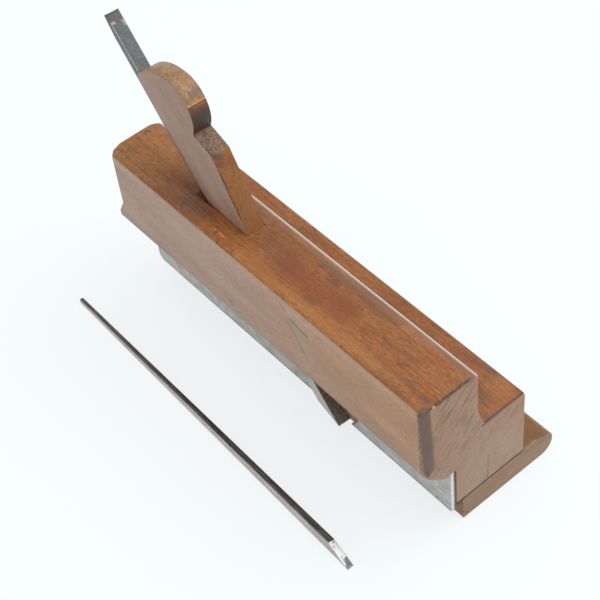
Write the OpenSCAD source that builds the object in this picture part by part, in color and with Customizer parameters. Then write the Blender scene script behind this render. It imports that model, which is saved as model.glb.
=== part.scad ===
// Wooden grooving plane with a steel skate in two plates, a tapered iron held by
// a wedge, and a fence that slides under the leg. Millimetres, +X towards the toe,
// +Y towards the fence side, +Z up. The origin is the middle of the fence's underside.

/* [Stock] */
// Length of the stock, from heel to toe
stock_l = 184.15; // [174:0.05:210]
// Width of the stock over its leg
stock_w = 50.8; // [48:0.1:56]
// Height of the stock above its sole
stock_h = 69.85; // [66:0.05:76]
// Thickness of the tall grip
grip_w = 26.7; // [25:0.1:30]
// Height of the shoulder above the sole
shoulder_h = 37.6; // [35:0.1:41]
// Width of the hollow in the corner of grip and shoulder
hollow_w = 3.4; // [2:0.1:6]
// Height of that hollow
hollow_h = 12.4; // [8:0.1:16]
// How deep the hollow is cut behind a straight bevel
hollow_sag = 0.5; // [0.3:0.1:1]
// Height of the overhang's underside above the sole
overhang_h = 22.6; // [21:0.1:24]
// Width of the bevel along the overhang's lower edge
bevel_w = 9.9; // [8:0.1:11]
// Height of that bevel
bevel_h = 11.2; // [9:0.1:13]
// How far the bevel's middle stands proud of a straight line
bevel_crown = 0.7; // [0.2:0.1:1.2]
// Width of the open slit between skate and leg
leg_slit = 1.3; // [0.8:0.1:2]
// Radius of the rounded long edges
edge_r = 1.2; // [0.6:0.1:2]

/* [Corner chamfers] */
// Length of the heel chamfer along the stock
heel_cut_l = 4; // [2:0.1:6]
// Width of the heel chamfer across the stock
heel_cut_w = 6.8; // [4:0.1:9]
// How round the heel chamfer is: the share of its size that each of its two faces takes
heel_cut_share = 0.57; // [0.52:0.01:0.8]
// Height above the sole where the heel chamfer dies out
heel_cut_end = 36.5; // [34.5:0.5:41]
// Length of the toe chamfer along the stock
toe_cut_l = 1; // [0.6:0.1:3]
// Width of the toe chamfer across the stock
toe_cut_w = 6.5; // [4:0.1:9]
// Height above the sole where the toe chamfer starts to die out
toe_cut_start = 38.3; // [36:0.5:44]
// Height of the run-out at the foot of the heel chamfer
heel_run_out = 6; // [3:0.5:9]
// Height of the run-out at the foot of the toe chamfer
toe_run_out = 8.5; // [3:0.5:12]
// Radius of the grip's left corner at the heel
heel_round_r = 5.8; // [2:0.1:7]

/* [Skate] */
// Distance of the skate's outer face from the stock's right face
skate_y = 13.5; // [13:0.1:14.5]
// Thickness of the skate plates
skate_t = 1.1; // [0.9:0.1:1.4]
// How far the skate reaches below the sole
skate_drop = 3.4; // [2.5:0.1:4.5]
// Depth of the skate's tongue in the kerf
tongue_h = 9.4; // [7:0.1:11]
// How far the kerf stops short of the toe
kerf_stop = 7; // [5:0.5:10]
// Height of the front plate's corner above its running edge
nose_rise = 7.2; // [5:0.1:9]
// How far the front plate leans forward over that height
nose_run = 4.6; // [3:0.1:6]
// Gap between the cutting edge and the front plate's lower corner
mouth_gap = 2.4; // [1.6:0.1:3.2]
// Radius of the rear plate's lower heel corner
skate_heel_r = 3.5; // [2:0.1:6]
// Radius of the front plate's lower toe corner
skate_toe_r = 1.6; // [0.6:0.1:3]

/* [Skate screws] */
// Radius of a skate screw's shank
skate_screw_r = 1.6; // [1.3:0.1:1.9]
// Radius of its head
skate_screw_head_r = 3.1; // [2.5:0.1:3.5]
// Height of its countersunk head
skate_screw_head_h = 1.9; // [1.5:0.1:2.2]
// Length of the whole screw
skate_screw_l = 16; // [14:0.5:19]
// Height of the screws above the overhang's underside
skate_screw_h = 4.6; // [4:0.1:5.4]
// Distance of the rear plate's first screw from the heel
rear_screw_x = 14; // [10:0.5:18]
// Spacing of the rear plate's three screws
rear_screw_pitch = 31; // [26:0.5:32]
// Distance of the front plate's first screw from the toe
front_screw_x = 18; // [14:0.5:20]
// Spacing of the front plate's two screws
front_screw_pitch = 22; // [16:0.5:23]

/* [Iron] */
// Length of the iron
iron_l = 184.15; // [175:0.05:195]
// Width of the iron at its cutting edge
iron_w = 6.35; // [5.6:0.05:6.6]
// How much narrower the iron is at its top end
iron_narrowing = 0.5; // [0.2:0.1:1]
// Thickness of the iron at the heel of its bevel
iron_t = 5.9; // [5.4:0.1:6.2]
// Thickness of the iron at its top end
iron_top_t = 3.1; // [2.4:0.1:3.6]
// Length of the iron's bevel, along its face
iron_bevel_l = 12; // [10:0.5:15]
// Length of the thinned top end
iron_tip_l = 9; // [5:0.5:14]
// Pitch of the iron's face
pitch = 45; // [44:0.5:46]
// Sideways lean of the iron
lean = 2.27; // [1.8:0.01:2.6]
// Distance of the cutting edge from the heel
edge_x = 124.02; // [118:0.02:128]
// Distance of the cutting edge's right corner from the stock's right face
edge_y = 9.23; // [8.9:0.01:9.4]
// How far the cutting edge reaches below the skate
iron_set = 0.13; // [0.05:0.01:0.3]

/* [Wedge] */
// Angle between the wedge's front and the iron
wedge_angle = 11.9; // [11:0.1:12.6]
// Thickness of the wedge at its hip, under the notch
wedge_hip_t = 25.6; // [25:0.1:26.2]
// How far the wedge stands out over the iron on the right
wedge_right = 1.46; // [1:0.02:1.6]
// Width of the wedge
wedge_w = 8.6; // [8:0.1:9]
// Height of the hip above the cutting edge, along the iron
hip_u = 118; // [117:0.1:119.5]
// Radius of the hip's corner
hip_r = 2; // [1:0.1:3]
// Height of the wedge's top above the cutting edge, along the iron
wedge_top_u = 158.8; // [158:0.1:159.4]
// Height of the wedge's point above the cutting edge, along the iron
wedge_toe_u = 44; // [40:0.5:50]
// Height of the round head's centre above the cutting edge, along the iron
head_u = 140.4; // [139.6:0.1:141.4]
// Radius of the round head
head_r = 12.9; // [12.4:0.1:13.6]
// Distance of the head's centre from the iron
head_w = 16; // [15.4:0.1:16.6]
// Radius of the crown that joins the head to the iron
crown_r = 31.2; // [30:0.1:33]
// Depth of the notch under the head, from the iron
notch_w = 20.9; // [20.4:0.1:21.6]
// Height of the notch above the cutting edge, along the iron
notch_u = 127.7; // [127:0.1:128.4]

/* [Fence] */
// Thickness of the fence
fence_t = 12.7; // [11:0.1:14]
// Width of the fence
fence_w = 48.3; // [44:0.1:52]
// Distance of the fence's working face from the stock's right face
fence_y = 18.95; // [18.5:0.05:20]
// Radius of the fence's lower outer edge
fence_low_r = 6; // [3:0.5:7]
// Radius of the fence's upper outer edge
fence_top_r = 4.5; // [1:0.5:5]
// How far the fence's top falls towards its outer edge
fence_fall = 1.6; // [0.4:0.1:2.4]
// Width of the part of the top that falls
fence_fall_w = 12; // [8:0.5:13]
// How far the fence slides outwards
fence_out = 9; // [6:0.5:10]
// How far the fence slides towards the skate
fence_in = 2.6; // [1.5:0.1:2.6]

/* [Fence screws and slot plates] */
// Distance of the heel's fence screw from the heel
fence_screw_heel_x = 35; // [25:0.5:50]
// Distance of the toe's fence screw from the toe
fence_screw_toe_x = 34.15; // [25:0.05:50]
// Distance of the fence screws from the stock's right face
fence_screw_y = 38; // [37:0.5:40]
// Radius of a fence screw's shank
fence_screw_r = 2.1; // [1.8:0.1:2.4]
// Radius of its head
fence_head_r = 5.5; // [5:0.1:6]
// Height of its head
fence_head_h = 2.4; // [2:0.1:3]
// Length of the screw inside the leg
fence_screw_grip = 17; // [14:0.5:19]
// Thickness of a slot plate
slot_plate_t = 1.6; // [1.2:0.1:2]
// Width of a slot plate
slot_plate_w = 14; // [13:0.5:16]
// Length of a slot plate past each end of its slot
slot_plate_end = 5; // [4.6:0.1:5.4]
// How far the heads lie inside the fence
head_recess = 0.8; // [0.5:0.1:1.2]
// Radius of a slot plate screw's shank
plate_screw_r = 0.9; // [0.7:0.05:1.1]
// Radius of its head
plate_screw_head_r = 1.7; // [1.4:0.05:1.9]
// Length of a slot plate screw
plate_screw_l = 7; // [5:0.5:8]

/* [Spare iron] */
// Length of the spare iron
spare_l = 182; // [175:0.1:195]
// Width of the spare iron at its cutting edge
spare_w = 2.9; // [2.4:0.1:3.4]
// Width of the spare iron at its thin end
spare_end_w = 1.7; // [1.4:0.1:2.2]
// Thickness of the spare iron at the heel of its bevel
spare_t = 6.2; // [5.5:0.1:6.8]
// Thickness of the spare iron at its thin end
spare_end_t = 2.4; // [2:0.1:3.2]
// Length of its bevel
spare_bevel_l = 10.9; // [9:0.1:13]
// Distance of its thin end behind the heel
spare_x = 11; // [8:0.1:16]
// Distance of its thin end from the stock's right face
spare_y = 22.6; // [20:0.1:26]
// Angle at which it lies, away from the stock
spare_turn = 0.9; // [0:0.1:2]

/* [Clearances] */
// Gap between pieces fixed to each other
fixed_gap = 0.05; // [0.02:0.01:0.08]
// Gap between a screw's shank and its hole
turn_gap = 0.05; // [0.03:0.01:0.08]
// Gap between flat faces that slide on each other
slide_gap = 0.12; // [0.08:0.01:0.2]
// Gap at the sides and the front of the mortise
side_gap = 0.3; // [0.25:0.01:0.4]

/* [Hidden] */
$fn = 48;
fine_fn = 360;
head_fn = 96;
over = 20;

// Heights above the floor that the fence stands on
sole_z = fence_t;
overhang_z = sole_z + overhang_h;
shoulder_z = sole_z + shoulder_h;
top_z = sole_z + stock_h;
skate_z = sole_z - skate_drop;

// Leg and kerf
leg_y = skate_y + skate_t + leg_slit;
kerf_l = stock_l - kerf_stop;
nose_x = edge_x + mouth_gap;

// The iron's thickness falls evenly from the heel of the bevel to the top
iron_taper = (iron_t - iron_top_t) / (iron_l - iron_bevel_l);
function iron_back(u) = -(iron_t - iron_taper * (u - iron_bevel_l));

// The wedge's front leans away from the iron
function wedge_front(u) = wedge_hip_t + tan(wedge_angle) * (u - hip_u);
wedge_left = wedge_w - wedge_right;
wedge_point_l = 18;

// Places of the fence screws along the stock
heel_place = fence_screw_heel_x;
toe_place = stock_l - fence_screw_toe_x;

// Slot in the fence: the screw stands still while the fence travels
slot_y0 = fence_screw_y - fence_out - fence_screw_r - side_gap;
slot_y1 = fence_screw_y + fence_in + fence_screw_r + side_gap;
slot_r = fence_screw_r + side_gap;
slot_plate_z = head_recess + fence_head_h + slide_gap;
pocket_h = slot_plate_z + slot_plate_t + fixed_gap;
plate_screw_in = slot_plate_end / 2 - 0.2;

// Points, tips and driver slots of the screws
skate_point_l = 3;
skate_tip_r = 0.3;
skate_driver = 0.8;
skate_head_out = 4.5;
plate_point_l = 1.5;
plate_tip_r = 0.2;
plate_driver_w = 0.4;
plate_driver_h = 0.35;
fence_point_l = 4;
fence_tip_r = 0.4;
fence_head_edge = 0.7;
fence_head_slope = 0.9;
fence_driver_w = 1.2;
fence_driver_h = 1.1;
joined = 0.001;

// Moves a child from the corner of heel and right face to the origin's frame
module placed() {
    translate([-stock_l / 2, -fence_y - fence_w / 2, 0]) children();
}

// Stands a section drawn in Y and Z along X
module along_x(x0, x1) {
    translate([x0, 0, 0]) rotate([90, 0, 90]) linear_extrude(x1 - x0) children();
}

// The iron's own frame: X forwards off its face, Y across it, Z up its length
module bedded() {
    translate([edge_x, edge_y, skate_z - iron_set])
        rotate([0, pitch - 90, 0])
            rotate([-lean, 0, 0])
                children();
}

// Stands a side outline, drawn in X and Z of the iron's frame, across the iron
module across(y0, y1) {
    translate([0, y1, 0]) rotate([90, 0, 0]) linear_extrude(y1 - y0) children();
}

// What a rounded edge takes off the corner at [0, 0], with the solid at +X and +Y
module edge_waste(r) {
    difference() {
        translate([-r, -r]) square(2 * r);
        translate([r, r]) circle(r);
    }
}

// Triangle that a corner chamfer takes off
module corner_waste(l, w) {
    polygon([[l * 1.5, -w / 2], [-l / 2, w * 1.5], [-l, -w]]);
}

// Corner chamfer with a run-out at its foot
module corner_chamfer(l, w, foot_z, run_out) {
    translate([0, 0, foot_z + run_out]) linear_extrude(over + stock_h) corner_waste(l, w);
    hull() {
        translate([0, 0, foot_z + run_out]) linear_extrude(0.01) corner_waste(l, w);
        translate([0, 0, foot_z]) linear_extrude(0.01) corner_waste(0.02, 0.02);
    }
}

// Circle through the ends of the hollow, with its middle sag behind the chord
module hollow_section() {
    chord = sqrt(hollow_w * hollow_w + hollow_h * hollow_h);
    hollow_r = (chord * chord / 4 + hollow_sag * hollow_sag) / (2 * hollow_sag);
    reach = hollow_r - hollow_sag;
    difference() {
        translate([grip_w - 1, shoulder_z - 1])
            polygon([[0, 0], [hollow_w + 1, 0], [hollow_w + 1, 1], [1, hollow_h + 1], [0, hollow_h + 1]]);
        translate([grip_w + hollow_w / 2 + reach * hollow_h / chord,
                shoulder_z + hollow_h / 2 + reach * hollow_w / chord])
            circle(hollow_r, $fn = fine_fn);
    }
}

module stock_section() {
    difference() {
        union() {
            translate([0, overhang_z]) square([grip_w, top_z - overhang_z]);
            translate([0, overhang_z]) square([stock_w, shoulder_h - overhang_h]);
            translate([leg_y, sole_z]) square([stock_w - leg_y, overhang_h + 1]);
            hollow_section();
        }
        // crowned bevel under the overhang
        polygon([
            [-1, overhang_z - 1], [-1, overhang_z + bevel_h + 1], [0, overhang_z + bevel_h],
            [bevel_w * 0.3 - bevel_crown, overhang_z + bevel_h * 0.7 - bevel_crown],
            [bevel_w * 0.7 - bevel_crown / 2, overhang_z + bevel_h * 0.3 - bevel_crown / 2],
            [bevel_w, overhang_z], [bevel_w, overhang_z - 1]]);
        translate([0, top_z]) mirror([0, 1]) edge_waste(edge_r);
        translate([grip_w, top_z]) rotate(180) edge_waste(edge_r);
        translate([stock_w, shoulder_z]) rotate(180) edge_waste(edge_r);
        translate([stock_w, sole_z]) mirror([1, 0]) edge_waste(edge_r / 2);
    }
}

// Inclined mortise for the iron and the wedge, down through the leg's inner face
module mortise() {
    low = -over;
    high = 150;
    gap = side_gap;
    bedded() across(-wedge_right - gap, wedge_left + gap)
        polygon([
            [iron_back(low) - slide_gap, low], [wedge_front(low) + gap, low],
            [wedge_front(high) + gap, high], [iron_back(high) - slide_gap, high]]);
}

// Kerf that holds the skate's tongue
module kerf() {
    translate([-over, skate_y - fixed_gap, overhang_z - 1])
        cube([kerf_l + over, skate_t + 2 * fixed_gap, tongue_h + fixed_gap + 1]);
}

// A countersunk skate screw, its axis along +Y from the head's outer face
module skate_screw(gap) {
    rotate([-90, 0, 0]) {
        cylinder(h = skate_screw_head_h, r1 = skate_screw_head_r + gap, r2 = skate_screw_r + gap);
        cylinder(h = skate_screw_l - skate_point_l + gap, r = skate_screw_r + gap);
        translate([0, 0, skate_screw_l - skate_point_l + gap - joined])
            cylinder(h = skate_point_l, r1 = skate_screw_r + gap, r2 = skate_tip_r + gap);
    }
}

skate_screw_z = overhang_z + skate_screw_h;
skate_screw_y = skate_y - skate_head_out;

module rear_screw_places() {
    for (i = [0 : 2])
        translate([rear_screw_x + i * rear_screw_pitch, skate_screw_y, skate_screw_z]) children();
}

module front_screw_places() {
    for (i = [0 : 1])
        translate([stock_l - front_screw_x - i * front_screw_pitch, skate_screw_y, skate_screw_z])
            children();
}

module skate_screw_hole() {
    skate_screw(turn_gap);
    rotate([90, 0, 0]) cylinder(h = over, r = skate_screw_head_r + turn_gap);
}

// Screws with a driver slot across the head
module skate_screw_solid() {
    difference() {
        skate_screw(0);
        translate([-skate_driver / 2, -1, -over / 2]) cube([skate_driver, skate_driver + 1, over]);
    }
}

module stock() {
    color("peru") placed() difference() {
        along_x(0, stock_l) stock_section();
        mortise();
        kerf();
        corner_chamfer(heel_cut_l * heel_cut_share, heel_cut_w, sole_z + heel_cut_end, heel_run_out);
        corner_chamfer(heel_cut_l, heel_cut_w * heel_cut_share, sole_z + heel_cut_end, heel_run_out);
        translate([stock_l, 0, 0]) mirror([1, 0, 0])
            corner_chamfer(toe_cut_l, toe_cut_w, sole_z + toe_cut_start - toe_run_out, toe_run_out);
        translate([0, grip_w, shoulder_z + hollow_h])
            linear_extrude(stock_h) mirror([0, 1]) edge_waste(heel_round_r);
        rear_screw_places() skate_screw_hole();
        front_screw_places() skate_screw_hole();
        for (x = [heel_place, toe_place]) translate([x, fence_screw_y, sole_z - 1])
            cylinder(h = fence_screw_grip + 2, r = fence_screw_r + turn_gap);
    }
}

// Rear plate: its front end follows the bed, its lower heel corner is rounded
module skate_rear() {
    top = overhang_z + tongue_h;
    bed_gap = slide_gap + 0.1;
    color("lightsteelblue") placed() difference() {
        translate([0, skate_y, skate_z]) cube([edge_x, skate_t, top - skate_z]);
        bedded() across(-over, 2 * over)
            polygon([
                [iron_back(-over) - bed_gap, -over], [3 * over, -over], [3 * over, 5 * over],
                [iron_back(5 * over) - bed_gap, 5 * over]]);
        translate([0, skate_y + skate_t + 1, skate_z]) rotate([90, 0, 0])
            linear_extrude(skate_t + 2) edge_waste(skate_heel_r);
        rear_screw_places() skate_screw(turn_gap);
    }
}

// Front plate: its rear end leans forwards, its tongue stops short of the toe
module skate_front() {
    top = overhang_z + tongue_h;
    lean_x = nose_run / nose_rise;
    color("lightsteelblue") placed() difference() {
        translate([0, skate_y + skate_t, 0]) rotate([90, 0, 0]) linear_extrude(skate_t)
            polygon([
                [nose_x, skate_z], [stock_l, skate_z], [stock_l, overhang_z - fixed_gap],
                [kerf_l - fixed_gap, overhang_z - fixed_gap], [kerf_l - fixed_gap, top],
                [nose_x + lean_x * (overhang_z - skate_z), top],
                [nose_x + lean_x * (overhang_z - skate_z), overhang_z]]);
        translate([stock_l, skate_y + skate_t + 1, skate_z]) rotate([90, 0, 0])
            linear_extrude(skate_t + 2) mirror([1, 0]) edge_waste(skate_toe_r);
        front_screw_places() skate_screw(turn_gap);
    }
}

module skate_screws_rear() {
    color("dimgray") placed() rear_screw_places() skate_screw_solid();
}

module skate_screws_front() {
    color("dimgray") placed() front_screw_places() skate_screw_solid();
}

module fence_section() {
    outer_y = fence_y + fence_w;
    difference() {
        translate([fence_y, 0]) square([fence_w, fence_t]);
        translate([outer_y, 0]) mirror([1, 0]) edge_waste(fence_low_r);
        polygon([
            [outer_y - fence_fall_w, fence_t], [outer_y, fence_t - fence_fall],
            [outer_y + 1, fence_t - fence_fall], [outer_y + 1, fence_t + 1],
            [outer_y - fence_fall_w, fence_t + 1]]);
        translate([outer_y, fence_t - fence_fall + fence_top_r * fence_fall / fence_fall_w])
            rotate(180) edge_waste(fence_top_r);
        translate([fence_y, 0]) edge_waste(edge_r / 2);
    }
}

// Slot outline in X and Y, round at both ends
module slot_shape(r) {
    translate([0, slot_y0 + slot_r]) circle(r);
    translate([0, slot_y1 - slot_r]) circle(r);
    translate([-r, slot_y0 + slot_r]) square([2 * r, slot_y1 - slot_y0 - 2 * slot_r]);
}

// Pocket for a slot plate, with round-ended room for the screw's head
module slot_plate_shape(gap) {
    translate([-slot_plate_w / 2 - gap, slot_y0 - slot_plate_end - gap])
        square([slot_plate_w + 2 * gap, slot_y1 - slot_y0 + 2 * slot_plate_end + 2 * gap]);
}

// A slot plate's screw, its axis along +Z from the head's outer face
module plate_screw(gap) {
    cylinder(h = plate_screw_head_r - plate_screw_r, r1 = plate_screw_head_r + gap,
        r2 = plate_screw_r + gap);
    cylinder(h = plate_screw_l - plate_point_l + gap, r = plate_screw_r + gap);
    translate([0, 0, plate_screw_l - plate_point_l + gap - joined])
        cylinder(h = plate_point_l, r1 = plate_screw_r + gap, r2 = plate_tip_r + gap);
}

module plate_screw_places(x) {
    for (y = [slot_y0 - plate_screw_in, slot_y1 + plate_screw_in])
        translate([x, y, slot_plate_z]) children();
}

module fence() {
    color("burlywood") placed() difference() {
        along_x(0, stock_l) fence_section();
        for (x = [heel_place, toe_place]) {
            translate([x, 0, -1]) linear_extrude(pocket_h + 1) slot_plate_shape(fixed_gap);
            translate([x, 0, -1]) linear_extrude(fence_t + 2) slot_shape(slot_r);
            plate_screw_places(x) plate_screw(turn_gap);
        }
    }
}

module slot_plate(x) {
    color("goldenrod") placed() difference() {
        translate([x, 0, slot_plate_z]) linear_extrude(slot_plate_t) slot_plate_shape(0);
        translate([x, 0, 0]) linear_extrude(fence_t) slot_shape(slot_r);
        plate_screw_places(x) plate_screw(turn_gap);
    }
}

module slot_plate_heel() {
    slot_plate(heel_place);
}

module slot_plate_toe() {
    slot_plate(toe_place);
}

module slot_plate_screws(x) {
    color("darkgoldenrod") placed() plate_screw_places(x) difference() {
        plate_screw(0);
        translate([-over / 2, -plate_driver_w / 2, -1]) cube([over, plate_driver_w, plate_driver_h + 1]);
    }
}

module slot_plate_screws_heel() {
    slot_plate_screws(heel_place);
}

module slot_plate_screws_toe() {
    slot_plate_screws(toe_place);
}

// Slotted screw, head down in the fence, shank up in the leg
module fence_screw(x) {
    shank_l = sole_z - head_recess - fence_head_h + fence_screw_grip;
    color("gray") placed() translate([x, fence_screw_y, head_recess]) difference() {
        union() {
            cylinder(h = fence_head_edge, r1 = fence_head_r - fence_head_slope, r2 = fence_head_r);
            translate([0, 0, fence_head_edge])
                cylinder(h = fence_head_h - fence_head_edge, r = fence_head_r);
            cylinder(h = fence_head_h + shank_l - fence_point_l, r = fence_screw_r);
            translate([0, 0, fence_head_h + shank_l - fence_point_l - joined])
                cylinder(h = fence_point_l, r1 = fence_screw_r, r2 = fence_tip_r);
        }
        translate([-over / 2, -fence_driver_w / 2, -1]) cube([over, fence_driver_w, fence_driver_h + 1]);
    }
}

module fence_screw_heel() {
    fence_screw(heel_place);
}

module fence_screw_toe() {
    fence_screw(toe_place);
}

// Iron: side outline cut by its face outline, which narrows upwards
module cutting_iron() {
    color("slategray") placed() bedded() intersection() {
        across(-1, iron_w + 1)
            polygon([
                [0, 0], [0, iron_l], [-iron_top_t * 0.6, iron_l],
                [iron_back(iron_l - iron_tip_l), iron_l - iron_tip_l], [-iron_t, iron_bevel_l]]);
        translate([-over, 0, 0]) rotate([90, 0, 90]) linear_extrude(2 * over)
            polygon([[0, 0], [iron_w, 0], [iron_w - iron_narrowing, iron_l], [0, iron_l]]);
    }
}

// Wedge's top: an arc from the iron's face to the round head
module wedge_crown() {
    crown_w = 2.9;
    back_w = 1.8;
    back_drop = 2;
    crown_end = head_w + head_r * 0.75;
    intersection() {
        translate([crown_w, wedge_top_u - crown_r]) circle(crown_r, $fn = fine_fn);
        polygon([
            [slide_gap, notch_u], [notch_w, notch_u], [head_w, head_u], [crown_end, head_u + head_r * 0.6],
            [crown_end, wedge_top_u + 1], [back_w, wedge_top_u + 1], [back_w, wedge_top_u],
            [slide_gap, wedge_top_u - back_drop]]);
    }
}

// Wedge: straight back, tapered point, rounded hip, notch, round head and crown
module wedge_outline() {
    notch_angle = 31;
    hip_w = wedge_front(hip_u) - hip_r / cos(wedge_angle);
    point_u = wedge_toe_u + wedge_point_l;
    polygon([
        [slide_gap, wedge_toe_u], [slide_gap + 1, wedge_toe_u],
        [wedge_front(point_u), point_u],
        [hip_w + hip_r * cos(wedge_angle), hip_u - hip_r * sin(wedge_angle)],
        [hip_w + hip_r * cos(notch_angle), hip_u + hip_r * sin(notch_angle)],
        [notch_w, notch_u], [slide_gap, notch_u]]);
    translate([hip_w, hip_u]) circle(hip_r);
    translate([head_w, head_u]) circle(head_r, $fn = head_fn);
    wedge_crown();
}

module wedge() {
    color("sienna") placed() bedded() across(-wedge_right, wedge_left) wedge_outline();
}

// Spare iron, lying on its face with its bevel up
module spare_iron() {
    color("dimgray") placed() translate([-spare_x, -spare_y, 0]) rotate([0, 0, -spare_turn])
        intersection() {
            rotate([90, 0, 0]) translate([0, 0, -over]) linear_extrude(2 * over)
                polygon([[0, 0], [spare_l, 0], [spare_l - spare_bevel_l, spare_t], [0, spare_end_t]]);
            linear_extrude(over)
                polygon([[0, 0], [0, -spare_end_w], [spare_l, -spare_w], [spare_l, 0]]);
        }
}

stock();
skate_rear();
skate_front();
skate_screws_rear();
skate_screws_front();
fence();
slot_plate_heel();
slot_plate_toe();
slot_plate_screws_heel();
slot_plate_screws_toe();
fence_screw_heel();
fence_screw_toe();
cutting_iron();
wedge();
spare_iron();
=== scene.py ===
import math
import bpy
from mathutils import Matrix, Vector


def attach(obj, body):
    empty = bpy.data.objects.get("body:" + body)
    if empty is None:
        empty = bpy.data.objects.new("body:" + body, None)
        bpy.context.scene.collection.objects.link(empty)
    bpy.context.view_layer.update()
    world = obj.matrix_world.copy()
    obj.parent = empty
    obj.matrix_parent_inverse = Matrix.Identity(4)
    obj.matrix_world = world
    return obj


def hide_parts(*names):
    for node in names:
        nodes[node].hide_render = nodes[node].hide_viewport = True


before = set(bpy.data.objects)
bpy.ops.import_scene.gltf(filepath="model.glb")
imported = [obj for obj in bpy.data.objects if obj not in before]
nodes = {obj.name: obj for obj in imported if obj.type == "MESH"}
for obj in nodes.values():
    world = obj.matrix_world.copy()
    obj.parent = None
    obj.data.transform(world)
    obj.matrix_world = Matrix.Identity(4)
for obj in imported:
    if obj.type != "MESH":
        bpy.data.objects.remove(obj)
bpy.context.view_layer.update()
print("frame loaded")

millimetre = 0.001


def tint(red, green, blue):
    # a screen colour, 0 to 255, as the linear colour that a socket takes
    def linear(value):
        value = value / 255
        return value / 12.92 if value <= 0.04045 else ((value + 0.055) / 1.055) ** 2.4
    return (linear(red), linear(green), linear(blue), 1.0)


# heel corner of the stock's right face, from which the camera's target is measured, in millimetres
heelCorner = Vector((-92.075, -43.1, 0))


# camera, where the photograph was taken from
cameraSet = {
    "target": (92.0, 25.0, 45.0),
    "azimuth": 55.22,
    "elevation": 48.79,
    "roll": -7.46,
    "right": -3.7,
    "up": 1.17,
    "distance": 617.47,
    "lens": 94.01,
    "sensor": 36,
    "nearest": 0.01,
    "farthest": 20,
}


def makeCamera():
    azimuth = math.radians(cameraSet["azimuth"])
    elevation = math.radians(cameraSet["elevation"])
    roll = math.radians(cameraSet["roll"])
    look = Vector((-math.sin(azimuth) * math.cos(elevation),
                   math.cos(azimuth) * math.cos(elevation), -math.sin(elevation)))
    flatRight = Vector((math.cos(azimuth), math.sin(azimuth), 0))
    flatUp = flatRight.cross(look)
    right = math.cos(roll) * flatRight + math.sin(roll) * flatUp
    up = math.cos(roll) * flatUp - math.sin(roll) * flatRight
    place = (Vector(cameraSet["target"]) + heelCorner + cameraSet["right"] * right
             + cameraSet["up"] * up - cameraSet["distance"] * look)
    data = bpy.data.cameras.new("photoCamera")
    data.lens = cameraSet["lens"]
    data.sensor_width = cameraSet["sensor"]
    data.clip_start = cameraSet["nearest"]
    data.clip_end = cameraSet["farthest"]
    camera = bpy.data.objects.new("photoCamera", data)
    bpy.context.scene.collection.objects.link(camera)
    turn = Matrix((right, up, -look)).transposed().to_4x4()
    camera.matrix_world = Matrix.Translation(place * millimetre) @ turn
    bpy.context.scene.camera = camera


makeCamera()
print("camera placed")


# small helpers for node trees
def addNode(tree, kind, inputs=None, **settings):
    node = tree.nodes.new(kind)
    for key, value in settings.items():
        setattr(node, key, value)
    for key, value in (inputs or {}).items():
        if isinstance(value, bpy.types.NodeSocket):
            tree.links.new(value, node.inputs[key])
        else:
            node.inputs[key].default_value = value
    return node


def calc(tree, operation, first, second=0.0, clamp=False):
    node = addNode(tree, "ShaderNodeMath", {0: first, 1: second}, operation=operation, use_clamp=clamp)
    return node.outputs[0]


def vectorCalc(tree, operation, first, second):
    return addNode(tree, "ShaderNodeVectorMath", {0: first, 1: second}, operation=operation).outputs


def axesOf(tree, vector):
    return addNode(tree, "ShaderNodeSeparateXYZ", {0: vector}).outputs


def rotated(tree, vector, angles):
    return addNode(tree, "ShaderNodeMapping", {"Vector": vector, "Rotation": angles}).outputs[0]


def ramp(tree, value, low, high, start=0.0, end=1.0):
    node = addNode(tree, "ShaderNodeMapRange", {"Value": value, "From Min": low, "From Max": high,
                   "To Min": start, "To Max": end}, interpolation_type="SMOOTHSTEP")
    return node.outputs["Result"]


# one colour laid over another; three numbers are a screen colour, four a linear one
def paint(tree, below, above, mask, strength=1.0):
    if strength != 1.0:
        mask = calc(tree, "MULTIPLY", mask, strength)
    below, above = (tint(*c) if isinstance(c, tuple) and len(c) == 3 else c for c in (below, above))
    return addNode(tree, "ShaderNodeMix", {0: mask, 6: below, 7: above}, data_type="RGBA").outputs[2]


def noise(tree, vector, size, detail=3.0, rough=0.55, stretch=(1, 1, 1)):
    scaled = addNode(tree, "ShaderNodeMapping", {"Vector": vector, "Scale": [s / size for s in stretch]})
    return addNode(tree, "ShaderNodeTexNoise", {"Vector": scaled.outputs[0], "Scale": 1.0,
                   "Detail": detail, "Roughness": rough}).outputs["Fac"]


def startGroup(name, inputs, outputs):
    tree = bpy.data.node_groups.new(name, "ShaderNodeTree")
    for label, kind, value in inputs:
        socket = tree.interface.new_socket(label, in_out="INPUT", socket_type="NodeSocket" + kind)
        socket.default_value = value
    for label in outputs:
        tree.interface.new_socket(label, in_out="OUTPUT", socket_type="NodeSocketFloat")
    return tree, tree.nodes.new("NodeGroupInput").outputs, tree.nodes.new("NodeGroupOutput").inputs


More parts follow.
